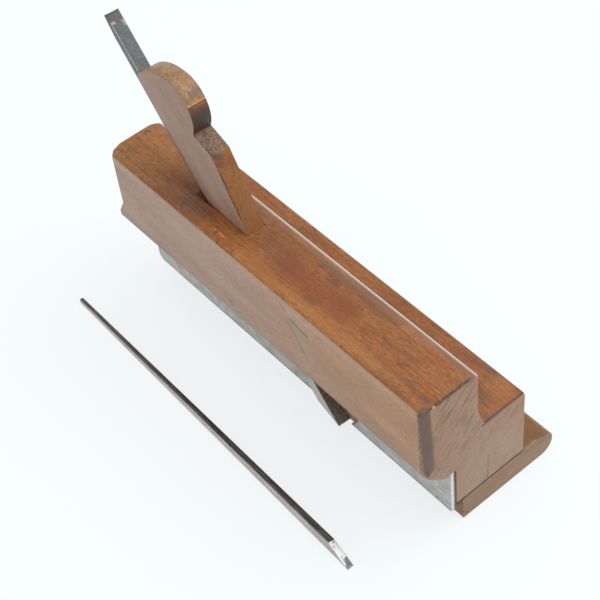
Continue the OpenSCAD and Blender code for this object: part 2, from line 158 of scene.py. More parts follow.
# beech with its grain along X: bands, fibres, short dark flecks, mottling and year rings
def makeGrain():
    tree, given, out = startGroup("beechGrain", [("Place", "Vector", (0, 0, 0)),
                                  ("Slant", "Vector", (0, 0, -0.2))],
                                  ["Bands", "Fibres", "Flecks", "Mottle", "Rings"])
    place = given["Place"]
    bands = noise(tree, place, 9, 4, 0.6, (0.13, 1, 1))
    fibres = noise(tree, place, 0.7, 3, 0.6, (0.05, 1, 1))
    slanted = rotated(tree, place, given["Slant"])
    dashes = noise(tree, slanted, 0.75, 2, 0.5, (0.24, 1, 1))
    mottle = noise(tree, place, 1.05, 4, 0.8, (0.45, 1, 1))
    # rings stand as short slanting streaks on an end
    turned = rotated(tree, place, (math.radians(-48.5), 0, 0))
    wander = noise(tree, place, 16, 2, 0.5, (0.2, 1, 1))
    bend = addNode(tree, "ShaderNodeCombineXYZ", {"Z": calc(tree, "MULTIPLY", wander, 5)}).outputs[0]
    bent = vectorCalc(tree, "ADD", turned, bend)[0]
    streaks = noise(tree, bent, 1.45, 2, 0.5, (0.02, 0.2, 1))
    tree.links.new(ramp(tree, bands, 0.3, 0.7), out["Bands"])
    tree.links.new(ramp(tree, fibres, 0.3, 0.72), out["Fibres"])
    tree.links.new(ramp(tree, dashes, 0.56, 0.7), out["Flecks"])
    tree.links.new(ramp(tree, mottle, 0.34, 0.68), out["Mottle"])
    tree.links.new(ramp(tree, streaks, 0.48, 0.64), out["Rings"])
    return tree


# a mark along a line, with a soft or ragged border
def makeMark():
    tree, given, out = startGroup("markAlong", [("Place", "Vector", (0, 0, 0)), ("Rough", "Float", 0),
                                  ("Start", "Vector", (0, 0, 0)), ("End", "Vector", (1, 0, 0)),
                                  ("Width", "Float", 1), ("Softness", "Float", 0.5),
                                  ("Ragged", "Float", 0.5)], ["Mask"])
    away = vectorCalc(tree, "SUBTRACT", given["Place"], given["Start"])[0]
    along = vectorCalc(tree, "SUBTRACT", given["End"], given["Start"])[0]
    reach = vectorCalc(tree, "DOT_PRODUCT", along, along)["Value"]
    share = calc(tree, "DIVIDE", vectorCalc(tree, "DOT_PRODUCT", away, along)["Value"], reach, True)
    nearest = addNode(tree, "ShaderNodeVectorMath", {0: along, "Scale": share},
                      operation="SCALE").outputs[0]
    gap = addNode(tree, "ShaderNodeVectorMath", {0: vectorCalc(tree, "SUBTRACT", away, nearest)[0]},
                  operation="LENGTH").outputs["Value"]
    gap = calc(tree, "ADD", gap, calc(tree, "MULTIPLY", given["Rough"], given["Ragged"]))
    outer = calc(tree, "MULTIPLY", given["Width"], calc(tree, "ADD", given["Softness"], 1))
    inner = calc(tree, "MULTIPLY", given["Width"], calc(tree, "SUBTRACT", 1.0, given["Softness"]))
    tree.links.new(ramp(tree, gap, outer, inner), out["Mask"])
    return tree


# wear on arrises, broken up by a noise
def makeWear():
    tree, given, out = startGroup("wornEdge", [("Place", "Vector", (0, 0, 0)),
                                  ("Breakup", "Float", 0.5)], ["Mask"])
    soft = addNode(tree, "ShaderNodeBevel", {"Radius": 0.9 * millimetre}, samples=6).outputs[0]
    flat = addNode(tree, "ShaderNodeNewGeometry").outputs["Normal"]
    same = vectorCalc(tree, "DOT_PRODUCT", soft, flat)["Value"]
    edge = ramp(tree, same, 0.995, 0.86)
    broken = ramp(tree, noise(tree, given["Place"], 2.2, 4, 0.6), 0.62, 0.35)
    kept = calc(tree, "SUBTRACT", 1.0, calc(tree, "MULTIPLY", broken, given["Breakup"]))
    tree.links.new(calc(tree, "MULTIPLY", edge, kept), out["Mask"])
    return tree


# bare steel: fine scratches in two directions and slow blotches
def makeSteel():
    tree, given, out = startGroup("steelSurface", [("Place", "Vector", (0, 0, 0)),
                                  ("Slant", "Vector", (0, 0, 0.6))],
                                  ["Scratches", "Brushed", "Blotches", "Pits"])
    place = given["Place"]
    turned = rotated(tree, place, given["Slant"])
    # the settings of each noise, then the ends of its ramp
    layers = {
        "Scratches": ((turned, 0.5, 2, 0.5, (0.04, 1, 1)), 0.6, 0.74),
        "Brushed": ((place, 0.45, 3, 0.6, (0.05, 1, 1)), 0.25, 0.75),
        "Blotches": ((place, 5, 4, 0.65), 0.32, 0.7),
        "Pits": ((place, 0.9, 3, 0.7), 0.62, 0.74),
    }
    for name, (settings, low, high) in layers.items():
        tree.links.new(ramp(tree, noise(tree, *settings), low, high), out[name])
    return tree


groups = {"grain": makeGrain(), "mark": makeMark(), "wear": makeWear(), "steel": makeSteel()}
print("shader groups built")


def useGroup(tree, name, inputs):
    return addNode(tree, "ShaderNodeGroup", inputs, node_tree=groups[name]).outputs


# a new material, with its places in millimetres in a frame of its own and the way each face looks
def startMaterial(name, origin=(0, 0, 0), turn=(0, 0, 0)):
    material = bpy.data.materials.new(name)
    material.use_nodes = True
    tree = material.node_tree
    shader = tree.nodes["Principled BSDF"]
    where = addNode(tree, "ShaderNodeTexCoord").outputs
    frameNode = addNode(tree, "ShaderNodeMapping", {"Vector": where["Object"],
                        "Location": [v * millimetre for v in origin],
                        "Rotation": [math.radians(v) for v in turn],
                        "Scale": (millimetre,) * 3}, vector_type="TEXTURE")
    return material, tree, shader, frameNode.outputs[0], axesOf(tree, where["Normal"])


def addMarks(tree, place, colour, marks):
    rough = calc(tree, "SUBTRACT", noise(tree, place, 1.1, 3, 0.65), 0.5)
    for start, end, width, soft, ragged, strength, shade in marks:
        # a round mark is a line of almost no length
        end = end or (start[0] + 0.02, start[1], start[2])
        mask = useGroup(tree, "mark", {"Place": place, "Rough": rough, "Start": start, "End": end,
                        "Width": width, "Softness": soft, "Ragged": ragged})["Mask"]
        colour = paint(tree, colour, shade, mask, strength)
    return colour


# what the three woods share: polish along the bands, and the parts of their relief
woodSet = {
    "polish": -0.12,
    "fibres": 0.5,
    "mottle": 0.4,
    "dents": 3,
    "dentSize": 7,
    "bumpStrength": 0.45,
    "specular": 0.35,
}


def finishWood(tree, shader, place, colour, grain, look):
    tree.links.new(colour, shader.inputs["Base Color"])
    worn = calc(tree, "MULTIPLY", grain["Bands"], woodSet["polish"])
    tree.links.new(calc(tree, "ADD", worn, look["roughness"]), shader.inputs["Roughness"])
    fibres = calc(tree, "MULTIPLY", grain["Fibres"], woodSet["fibres"])
    lines = calc(tree, "SUBTRACT", fibres, grain["Flecks"])
    lines = calc(tree, "SUBTRACT", lines, calc(tree, "MULTIPLY", grain["Mottle"], woodSet["mottle"]))
    dents = calc(tree, "MULTIPLY", noise(tree, place, woodSet["dentSize"], 3, 0.5), woodSet["dents"])
    bump = addNode(tree, "ShaderNodeBump", {"Height": calc(tree, "ADD", lines, dents),
                   "Strength": woodSet["bumpStrength"], "Distance": look["bump"] * millimetre})
    tree.links.new(bump.outputs[0], shader.inputs["Normal"])
    shader.inputs["Specular IOR Level"].default_value = woodSet["specular"]


# stock: warm oiled top; its sides and end grain greyer and paler, partly a painted sheen of the bright
# surroundings
stockSet = {
    "top": (176, 110, 54),
    "topDark": (106, 60, 30),
    "topLight": (190, 126, 66),
    "topRed": (154, 78, 34),
    "topTan": (184, 124, 62),
    "side": (184, 150, 126),
    "sideDark": (148, 112, 90),
    "sideLight": (198, 168, 146),
    "sideToe": (190, 144, 104),
    "end": (166, 128, 99),
    "endLow": (172, 135, 104),
    "endDark": (118, 94, 80),
    "fleck": (92, 58, 38),
    "sideFleck": (112, 88, 72),
    "arris": (214, 198, 186),
    "roughness": 0.52,
    "bump": 0.1,
}
stockMarks = [
    # start, end, width, softness, raggedness, strength, colour
    # top: two plugs at the heel, a knot hole, stains and scuffs
    ((-87.7, -38.3, 82.6), None, 0.6, 0.7, 0.6, 0.7, (66, 50, 48)),
    ((-89.7, -24.3, 82.5), None, 0.9, 0.7, 0.9, 0.7, (62, 56, 60)),
    ((49.8, -42.1, 82.4), None, 0.5, 0.6, 0.4, 0.85, (52, 42, 48)),
    ((-47, -37, 82.6), (-36, -35.4, 82.6), 2.6, 0.95, 4.0, 0.42, (84, 70, 68)),
    ((-46.3, -38.6, 82.6), None, 1.0, 0.8, 1.6, 0.5, (78, 60, 56)),
    ((-58, -28, 82.6), (-47, -33, 82.6), 2.4, 0.95, 4.0, 0.35, (92, 62, 48)),
    ((-26.9, -38.6, 82.6), None, 0.3, 0.9, 0.5, 0.5, (216, 186, 160)),
    ((-24.2, -38.6, 82.6), (-23.2, -38.5, 82.6), 0.3, 0.9, 0.8, 0.5, (214, 180, 150)),
    ((-22, -38.9, 82.6), None, 0.35, 0.9, 0.5, 0.5, (220, 192, 166)),
    ((-15.7, -24.8, 82.6), (-14.7, -21.4, 82.6), 0.35, 0.8, 0.7, 0.5, (112, 112, 114)),
    ((-19.4, -34.8, 82.6), None, 0.5, 0.8, 0.8, 0.55, (84, 62, 52)),
    ((-8, -26, 82.6), (8, -30, 82.6), 3.4, 0.95, 6.0, 0.35, (100, 60, 42)),
    ((16.6, -20.8, 82.6), (46, -18.6, 82.6), 1.7, 0.9, 2.0, 0.5, (92, 66, 62)),
    ((24, -22.6, 82.6), (56, -20.4, 82.6), 2.2, 0.95, 4.0, 0.3, (96, 62, 50)),
    ((22.3, -24.2, 82.6), (27, -24, 82.6), 1.3, 0.9, 2.4, 0.4, (84, 56, 46)),
    ((23.9, -36.3, 82.6), (28, -35.8, 82.6), 1.3, 0.9, 2.4, 0.4, (90, 66, 58)),
    ((70, -33, 82.6), (72.6, -31.6, 82.6), 0.8, 0.9, 1.8, 0.5, (88, 62, 60)),
    ((76.4, -36, 82.6), (80.6, -35.2, 82.6), 1.0, 0.9, 2.4, 0.5, (94, 68, 64)),
    ((85.4, -37.6, 82.6), (89.2, -36.8, 82.6), 0.55, 0.9, 1.2, 0.6, (86, 66, 62)),
    ((60, -29, 82.6), (74, -28, 82.6), 1.4, 0.95, 4.0, 0.35, (104, 66, 44)),
    ((91.8, -40, 82.3), (91.8, -18, 82.3), 0.55, 0.8, 1.3, 0.95, (66, 48, 44)),
    ((92.1, -37.2, 82.2), None, 0.6, 0.7, 0.8, 0.8, (226, 178, 150)),
    ((91.8, -18.4, 82.2), None, 0.8, 0.7, 0.8, 0.6, (186, 100, 60)),
    # the mortise's right edge, and painted shade in the gap beside the wedge
    ((-40, -32.7, 82.5), (-22, -32.4, 82.5), 0.6, 0.8, 1.2, 0.75, (176, 92, 46)),
    ((-46.6, -31, 82.4), (-38, -31.2, 82.4), 1.0, 0.5, 0.9, 0.98, (22, 17, 17)),
    ((-38, -31.2, 82.4), (-16.3, -31.1, 82.4), 0.75, 0.5, 0.6, 0.94, (40, 22, 16)),
    ((-47.6, -33.2, 82.6), (-45.2, -31.8, 82.6), 0.4, 0.6, 0.7, 0.8, (58, 46, 44)),
    # painted highlight along the grip's arris, with a painted shade beside it
    ((-90, -18.6, 82.5), (92, -18.5, 82.5), 1.7, 0.95, 1.2, 0.4, (138, 108, 90)),
    ((-90, -16.7, 82.3), (92, -16.6, 82.3), 0.85, 0.8, 0.6, 0.85, (216, 208, 198)),
    # right side
    ((20, -43.1, 73), (29.5, -43.1, 69), 1.6, 0.85, 3.2, 0.6, (150, 142, 116)),
    ((27, -43.1, 68), (31.6, -43.1, 61), 2.1, 0.85, 3.6, 0.6, (160, 152, 126)),
    ((21.9, -43.1, 74.6), (31.2, -43.1, 72), 0.4, 0.7, 0.8, 0.85, (84, 74, 68)),
    ((20, -43.1, 72), (28, -43.1, 60), 0.35, 0.8, 0.9, 0.5, (104, 98, 88)),
    ((19.4, -43.1, 77.2), (16.4, -43.1, 79), 0.35, 0.7, 0.7, 0.6, (110, 84, 70)),
    ((83.4, -43.1, 61.8), None, 0.45, 0.7, 0.5, 0.8, (92, 62, 54)),
    ((86.2, -43.1, 59.9), None, 0.3, 0.7, 0.4, 0.6, (112, 80, 66)),
    ((-17.9, -43.1, 51.9), (-16, -43.1, 51), 0.8, 0.8, 1.2, 0.6, (104, 92, 88)),
    ((-9.1, -43.1, 62.7), None, 1.2, 0.9, 1.6, 0.5, (190, 144, 106)),
    ((-1, -43.1, 58), (6, -43.1, 57), 1.5, 0.95, 3.0, 0.3, (176, 132, 100)),
    ((-84, -43, 47.6), (-60, -43, 47), 1.4, 0.95, 3.0, 0.3, (128, 112, 98)),
    ((30, -43, 47), (88, -43, 47), 0.7, 0.9, 1.4, 0.35, (132, 96, 70)),
    # toe end
    ((92.1, -18.8, 38.6), (92.1, -18.4, 36.6), 1.2, 0.9, 2.0, 0.5, (126, 128, 130)),
    ((92.1, -11, 29), (92.1, -11.2, 13.4), 0.35, 0.9, 0.5, 0.5, (98, 74, 62)),
    ((92.1, -19.8, 83), (92.1, -34.8, 66), 0.5, 0.8, 1.0, 0.4, (104, 82, 74)),
    ((92.1, -17.8, 77.4), (92.1, -29, 64.7), 0.45, 0.8, 1.0, 0.4, (104, 82, 74)),
    ((91.8, -41.2, 82), (91.8, -40.2, 48), 2.5, 0.3, 0.9, 0.78, (91, 70, 61)),
    ((90.6, -42.9, 82), (90.6, -42.9, 46), 0.35, 0.9, 2.4, 0.8, (78, 60, 54)),
    ((92, -38.4, 51), (92, -39.8, 46), 0.9, 0.9, 1.2, 0.3, (128, 88, 68)),
    ((92, -41, 47), (92, -41, 45), 0.7, 0.8, 0.8, 0.7, (66, 50, 46)),
    ((92.1, -36.3, 46.3), (92.1, -35.6, 44), 1.0, 0.9, 1.6, 0.5, (120, 100, 92)),
    ((92.1, -28, 13.1), (92.1, 7.6, 13.1), 0.85, 0.5, 0.5, 1.0, (36, 24, 20)),
    ((-92.1, -28, 12.8), (-92.1, 7.6, 12.8), 0.5, 0.6, 0.3, 0.85, (52, 36, 30)),
    # shoulder
    ((72, -3.4, 50.3), (84.5, -5.6, 50.3), 2.2, 0.95, 4.0, 0.5, (88, 60, 46)),
    ((60, 3.6, 50.3), (80, 6.4, 50.3), 1.8, 0.95, 4.0, 0.35, (96, 68, 52)),
    ((78, 7.4, 50.3), None, 1.0, 0.8, 1.6, 0.6, (72, 58, 52)),
    ((91.8, 7.2, 50.2), (91.8, -14, 50.2), 0.5, 0.8, 1.1, 0.85, (68, 50, 44)),
    ((-24, -13.6, 50.3), (90, -13.6, 50.3), 0.9, 0.9, 1.4, 0.4, (96, 62, 42)),
    # broad tones of the top, the dark outer arris of the shoulder
    ((6, -32, 82.6), (38, -29.5, 82.6), 5.0, 0.95, 5.0, 0.62, (126, 62, 32)),
    ((-10, -40.5, 82.6), (66, -39.4, 82.6), 2.2, 0.95, 4.0, 0.3, (182, 130, 72)),
    ((-92, 7.5, 50.2), (91, 7.5, 50.2), 0.4, 0.8, 1.0, 0.7, (70, 50, 42)),
    # a painted pool of light on the shoulder near the toe, lifting its shade
    ((84, 2, 50.3), (88, 0, 50.3), 4.0, 0.95, 3.0, 0.24, (190, 126, 68)),
]


# where the stock's faces lie: its top and shoulder along Z, its sides along Y, its ends along X
stockFaces = {
    "top": [82.6],
    "shoulder": [50.3],
    "sides": [-43.1, -28.1, -16.3, 7.7],
    "ends": [-92.1, 92.1],
}


# the marks that reach a face, each face given as an axis and its places along it
def marksOn(marks, axis, places):
    kept = []
    for mark in marks:
        start, end, width, soft, ragged = mark[:5]
        reach = width * (1 + soft) + ragged / 2
        ends = [start[axis], (end or start)[axis]]
        if any(min(ends) - reach < place < max(ends) + reach for place in places):
            kept.append(mark)
    return kept


# the same wood on every face, with the marks of each side
def stockWood(name, marks):
    material, tree, shader, place, facing = startMaterial(name)
    grain = useGroup(tree, "grain", {"Place": place})
    split = axesOf(tree, place)
    top = ramp(tree, facing["Z"], 0.5, 0.82)
    end = ramp(tree, calc(tree, "ABSOLUTE", facing["X"]), 0.55, 0.85)
    patches = ramp(tree, noise(tree, place, 22, 4, 0.6, (0.5, 1, 1)), 0.36, 0.66)
    warm = paint(tree, stockSet["top"], stockSet["topLight"], grain["Bands"], 0.55)
    warm = paint(tree, warm, stockSet["topDark"], patches, 0.4)
    warm = paint(tree, warm, stockSet["topDark"], grain["Fibres"], 0.52)
    hue = noise(tree, place, 15, 3, 0.6, (0.45, 1, 1))
    warm = paint(tree, warm, stockSet["topRed"], ramp(tree, hue, 0.47, 0.36), 0.45)
    warm = paint(tree, warm, stockSet["topTan"], ramp(tree, hue, 0.53, 0.66), 0.5)
    # painted light on the top towards the heel, lifting the wedge's shade there
    warm = paint(tree, warm, stockSet["topTan"], ramp(tree, split["X"], -56, -76), 0.42)
    lines = noise(tree, place, 2.4, 3, 0.6, (0.06, 1, 1))
    warm = paint(tree, warm, stockSet["topDark"], ramp(tree, lines, 0.5, 0.68), 0.4)
    warm = paint(tree, warm, stockSet["topDark"], grain["Mottle"], 0.58)
    warm = paint(tree, warm, stockSet["fleck"], grain["Flecks"], 0.62)
    # the greyer colours of the sides and ends below hold a painted sheen
    grey = paint(tree, stockSet["side"], stockSet["sideToe"], ramp(tree, split["X"], -20, 70))
    grey = paint(tree, grey, stockSet["sideLight"], grain["Bands"], 0.35)
    grey = paint(tree, grey, stockSet["sideDark"], patches, 0.35)
    grey = paint(tree, grey, stockSet["sideDark"], ramp(tree, split["Z"], 60, 46), 0.3)
    grey = paint(tree, grey, stockSet["sideDark"], grain["Mottle"], 0.45)
    grey = paint(tree, grey, stockSet["sideFleck"], grain["Flecks"], 0.3)
    grey = paint(tree, grey, stockSet["sideLight"], ramp(tree, split["Z"], 77.5, 79.5), 0.22)
    ends = paint(tree, stockSet["endLow"], stockSet["end"], ramp(tree, split["Z"], 24, 50))
    ringed = calc(tree, "MULTIPLY", grain["Rings"], ramp(tree, split["Z"], 28, 56, 0.45, 1.0))
    ringed = calc(tree, "MULTIPLY", ringed, ramp(tree, calc(tree, "ABSOLUTE", facing["X"]), 0.88, 0.97))
    ends = paint(tree, ends, stockSet["endDark"], ringed, 0.58)
    ends = paint(tree, ends, stockSet["endDark"], grain["Mottle"], 0.38)
    colour = paint(tree, grey, warm, top)
    colour = paint(tree, colour, ends, end)
    wear = useGroup(tree, "wear", {"Place": place, "Breakup": 0.85})["Mask"]
    colour = paint(tree, colour, stockSet["arris"], wear, 0.18)
    colour = addMarks(tree, place, colour, marks)
    finishWood(tree, shader, place, colour, grain, stockSet)
    return material


fenceSet = {
    "top": (146, 98, 51),
    "topDark": (100, 66, 36),
    "side": (148, 118, 86),
    "sideDark": (114, 88, 64),
    "end": (152, 118, 86),
    "endDark": (124, 98, 78),
    "fleck": (88, 62, 42),
    "arris": (178, 152, 124),
    "shift": (13, 7, 5),
    "roughness": 0.56,
    "bump": 0.1,
}
fenceMarks = [
    ((91.6, -20, 12.4), (91.6, 15, 12.2), 0.5, 0.8, 0.8, 0.5, (192, 160, 122)),
    ((92.1, 6, 11.4), (92.1, 21, 9.8), 1.6, 0.8, 1.4, 0.5, (126, 106, 90)),
    ((92.1, -24.3, 4.4), None, 1.0, 0.8, 1.2, 0.6, (98, 78, 66)),
    ((92.1, -22.4, 2.6), None, 0.5, 0.7, 0.6, 0.6, (96, 80, 70)),
    ((92.1, -21, 8), (92.1, -18, 5), 1.3, 0.95, 2.0, 0.3, (130, 122, 112)),
    ((-90, 8, 12.8), (91, 8, 12.8), 0.7, 0.8, 0.6, 0.85, (52, 36, 28)),
    ((60, 12, 12.6), (90, 16, 12.2), 1.4, 0.95, 2.4, 0.4, (92, 68, 46)),
    ((-91, 22.2, 11.2), (91, 22.4, 11.2), 0.6, 0.95, 1.6, 0.4, (176, 146, 112)),
    ((89, 18, 12), (91.4, 19, 11.4), 0.9, 0.8, 1.2, 0.5, (86, 72, 62)),
    ((28, -24.15, 4), (29.6, -24.15, 2.5), 0.9, 0.7, 0.8, 0.8, (184, 122, 70)),
]


def fenceWood():
    # the grain is shifted, so that it isn't the stock's; marks and wear stay in their real places
    material, tree, shader, place, facing = startMaterial("oldBeechFence", fenceSet["shift"])
    real = vectorCalc(tree, "ADD", place, fenceSet["shift"])[0]
    # the board was sawn so that its rings lie flat
    flat = rotated(tree, place, (math.radians(44), 0, 0))
    grain = useGroup(tree, "grain", {"Place": flat, "Slant": (0, 0, 0.12)})
    top = ramp(tree, facing["Z"], 0.5, 0.85)
    end = ramp(tree, calc(tree, "ABSOLUTE", facing["X"]), 0.55, 0.85)
    warm = paint(tree, fenceSet["top"], fenceSet["topDark"], grain["Bands"], 0.5)
    warm = paint(tree, warm, fenceSet["topDark"], grain["Fibres"], 0.45)
    warm = paint(tree, warm, fenceSet["topDark"], grain["Mottle"], 0.45)
    warm = paint(tree, warm, fenceSet["fleck"], grain["Flecks"], 0.6)
    grey = paint(tree, fenceSet["side"], fenceSet["sideDark"], grain["Bands"], 0.5)
    grey = paint(tree, grey, fenceSet["sideDark"], grain["Mottle"], 0.35)
    grey = paint(tree, grey, fenceSet["fleck"], grain["Flecks"], 0.3)
    ends = paint(tree, fenceSet["end"], fenceSet["endDark"], grain["Rings"], 0.35)
    ends = paint(tree, ends, fenceSet["endDark"], grain["Mottle"], 0.3)
    colour = paint(tree, paint(tree, grey, warm, top), ends, end)
    wear = useGroup(tree, "wear", {"Place": real, "Breakup": 0.8})["Mask"]
    colour = paint(tree, colour, fenceSet["arris"], wear, 0.25)
    colour = addMarks(tree, real, colour, fenceMarks)
    finishWood(tree, shader, place, colour, grain, fenceSet)
    return material


# the iron's and the wedge's own frame: X off the iron's face, Y across, Z up its length
bedOrigin = (31.945, -33.87, 9.17)
bedTurn = (-2.27, -45, 0)

wedgeSet = {
    "head": (174, 136, 95),
    "headDark": (118, 86, 58),
    "low": (152, 98, 46),
    "lowDark": (108, 66, 36),
    "side": (182, 150, 128),
    "sideLow": (172, 134, 104),
    "sideDark": (136, 106, 88),
    "burnt": (112, 68, 38),
    "patina": (59, 49, 43),
    "slope": (132, 100, 76),
    "slopeDark": (64, 55, 52),
    "slopeSpeck": (176, 142, 112),
    "arris": (74, 56, 48),
    "fleck": (92, 60, 40),
    "roughness": 0.5,
    "bump": 0.1,
}
wedgeMarks = [
    # a painted highlight across the head: a bright line with a dimmer one below it
    ((28.6, -1.4, 138.2), (28.6, 7.2, 138.2), 0.32, 0.8, 0.9, 0.8, (222, 142, 74)),
    ((28.3, 1, 137), (28.3, 6, 137), 0.25, 0.7, 0.4, 0.6, (176, 104, 52)),
    ((28.8, 2.6, 141.2), (28.8, 6, 142.4), 1.3, 0.9, 2.4, 0.6, (98, 76, 72)),
    ((28.6, 0, 140), (28.7, 7, 140.4), 0.9, 0.9, 1.6, 0.35, (112, 84, 70)),
    ((20.9, -1.4, 128), (20.9, 7.1, 128), 0.35, 0.7, 0.4, 0.7, (120, 66, 34)),
    ((4, -1.4, 158.6), (8, 7, 158), 1.8, 0.95, 3.0, 0.4, (112, 98, 90)),
    # the hip, darkened on its right
    ((25.8, -1.4, 119.4), (25.8, 7.1, 119.4), 0.4, 0.7, 0.5, 0.7, (76, 70, 72)),
    ((25.6, -0.8, 118.2), (25.3, 1.4, 116.4), 1.3, 0.9, 2.6, 0.85, (72, 66, 68)),
    ((25, -0.6, 114.6), (24.8, 0.8, 113.6), 0.9, 0.9, 1.4, 0.75, (76, 64, 62)),
    ((25, 2, 114), (24.6, 7, 112), 2.4, 0.95, 3.0, 0.5, (126, 66, 38)),
    ((24.4, -1.2, 112), (20, -1.2, 92), 0.35, 0.8, 1.4, 0.8, (72, 50, 40)),
    ((22, 6.9, 100), (17, 6.9, 76), 0.3, 0.8, 1.0, 0.4, (96, 66, 44)),
]


def wedgeWood():
    material, tree, shader, place, facing = startMaterial("oldBeechWedge", bedOrigin, bedTurn)
    # grain runs up the wedge
    upright = rotated(tree, place, (0, math.radians(90), 0))
    grain = useGroup(tree, "grain", {"Place": upright, "Slant": (0, 0, 0.1)})
    side = ramp(tree, calc(tree, "ABSOLUTE", facing["Y"]), 0.6, 0.85)
    split = axesOf(tree, place)
    head = paint(tree, wedgeSet["head"], wedgeSet["headDark"], grain["Mottle"], 0.68)
    patches = ramp(tree, noise(tree, place, 5, 3, 0.6), 0.4, 0.65)
    head = paint(tree, head, wedgeSet["headDark"], patches, 0.5)
    head = paint(tree, head, wedgeSet["fleck"], grain["Flecks"], 0.6)
    low = paint(tree, wedgeSet["low"], wedgeSet["lowDark"], grain["Mottle"], 0.45)
    low = paint(tree, low, wedgeSet["lowDark"], grain["Bands"], 0.35)
    low = paint(tree, low, wedgeSet["fleck"], grain["Flecks"], 0.45)
    front = paint(tree, low, head, ramp(tree, split["Z"], 118, 128))
    # hand-worn patina under the head's painted highlight
    worn = paint(tree, wedgeSet["burnt"], wedgeSet["patina"], ramp(tree, split["Z"], 137.4, 133.6))
    worn = paint(tree, worn, wedgeSet["slopeDark"], grain["Mottle"], 0.4)
    onWorn = calc(tree, "MULTIPLY", ramp(tree, split["Z"], 138.6, 137.6),
                  ramp(tree, split["Z"], 127.2, 127.8))
    onWorn = calc(tree, "MULTIPLY", onWorn, ramp(tree, split["X"], 13, 16))
    front = paint(tree, front, worn, onWorn, 0.94)
    slope = paint(tree, wedgeSet["slope"], wedgeSet["slopeDark"],
                  ramp(tree, noise(tree, place, 1.3, 4, 0.8), 0.45, 0.6), 0.85)
    specks = ramp(tree, noise(tree, place, 0.6, 2, 0.6), 0.6, 0.7)
    slope = paint(tree, slope, wedgeSet["slopeSpeck"], specks, 0.6)
    onSlope = calc(tree, "MULTIPLY", ramp(tree, split["Z"], 117.8, 119.4),
                   ramp(tree, split["Z"], 128.2, 127.6))
    front = paint(tree, front, slope, onSlope)
    front = addMarks(tree, place, front, wedgeMarks)
    plain = paint(tree, wedgeSet["sideLow"], wedgeSet["side"], ramp(tree, split["Z"], 84, 112))
    plain = paint(tree, plain, wedgeSet["sideDark"], grain["Bands"], 0.45)
    plain = paint(tree, plain, wedgeSet["sideDark"], grain["Fibres"], 0.35)
    plain = paint(tree, plain, wedgeSet["sideDark"], grain["Mottle"], 0.5)
    colour = paint(tree, front, plain, side)
    wear = useGroup(tree, "wear", {"Place": place, "Breakup": 0.7})["Mask"]
    colour = paint(tree, colour, wedgeSet["arris"], wear, 0.6)
    finishWood(tree, shader, upright, colour, grain, wedgeSet)
    return material


steelSets = {
    "skate": {"colour": (184, 181, 175), "dark": (111, 108, 105), "light": (218, 217, 213),
              "edge": (228, 234, 236), "slant": (0, -1.1, 0), "metallic": 0.35, "roughness": 0.42},
    "iron": {"colour": (79, 80, 81), "dark": (54, 52, 52), "light": (124, 126, 128),
             "edge": (176, 178, 178), "slant": (0.1, 1.5, 0.5), "metallic": 0.35, "roughness": 0.46,
             "speckle": (116, 118, 122), "side": (122, 122, 121), "sideLow": (190, 194, 190),
             "rust": (90, 78, 70), "rustLight": (142, 128, 116), "rustLow": (150, 138, 126)},
    "spare": {"colour": (186, 180, 171), "dark": (138, 133, 124), "light": (218, 214, 206),
              "edge": (190, 188, 182), "slant": (0, 0, 0.3), "metallic": 0.35, "roughness": 0.42,
              "back": (84, 75, 68), "backDark": (40, 35, 33), "backScratch": (118, 112, 102),
              "bevel": (230, 230, 227), "bevelDull": (184, 183, 180),
              "tip": (74, 72, 69), "tipDark": (46, 44, 42)},
    "screw": {"colour": (92, 86, 80), "dark": (58, 50, 44), "light": (126, 122, 116),
              "edge": (156, 152, 146), "slant": (0.3, 0, 0.9), "metallic": 0.6, "roughness": 0.5},
    "brassPlate": {"colour": (172, 142, 84), "dark": (118, 92, 52), "light": (196, 168, 108),
                   "edge": (210, 184, 126), "slant": (0, 0, 0.5), "metallic": 0.7, "roughness": 0.42},
    "brassScrew": {"colour": (160, 130, 74), "dark": (104, 80, 44), "light": (188, 158, 98),
                   "edge": (204, 178, 120), "slant": (0, 0, 1.1), "metallic": 0.7, "roughness": 0.4},
}
skateMarks = [
    ((83.5, -29.6, 10.9), None, 0.55, 0.7, 0.8, 0.85, (66, 58, 56)),
    ((-78, -29.6, 9.6), (91, -29.6, 9.6), 0.34, 0.8, 1.0, 0.75, (66, 64, 62)),
    ((46, -29.6, 10.6), (52, -29.6, 10), 0.4, 0.8, 1.0, 0.6, (84, 82, 80)),
    ((-50.4, -29.6, 16), (-50.4, -29.6, 10.6), 0.2, 0.7, 0.2, 0.7, (84, 84, 86)),
    ((91.9, -29.6, 10), (91.9, -29.6, 36), 0.4, 0.6, 0.2, 0.85, (236, 242, 244)),
    ((35.1, -29.5, 10.1), (38.8, -29.5, 15.6), 0.6, 0.6, 0.5, 0.9, (66, 50, 40)),
]
# in the fitted iron's own frame
ironMarks = [
    ((0, 0, 186), (0, 6.4, 186), 7.0, 0.2, 1.4, 0.6, (84, 74, 68)),
    # a painted highlight on the top arris of the iron's end
    ((0, -0.2, 184.1), (0, 6.5, 184.1), 0.22, 0.6, 0.2, 0.9, (184, 208, 212)),
    ((0, 0, 183.5), (0, 6.4, 183.5), 0.25, 0.7, 0.3, 0.7, (46, 42, 42)),
    ((0, 0.4, 179.9), (0, 1.4, 179.7), 0.45, 0.95, 1.4, 0.5, (198, 198, 198)),
    ((0, 5, 179.2), (0, 5.4, 177.6), 0.5, 0.8, 2.0, 0.55, (162, 168, 172)),
    ((0, 2, 164.4), (0, 5.6, 163.6), 0.2, 0.9, 1.2, 0.2, (168, 170, 170)),
    ((0, 0.1, 180), (0, 0.1, 160), 0.3, 0.95, 2.2, 0.5, (178, 180, 176)),
    ((0, 3, 158), (0, 3, 162), 2.0, 0.9, 1.4, 0.35, (84, 80, 76)),
]
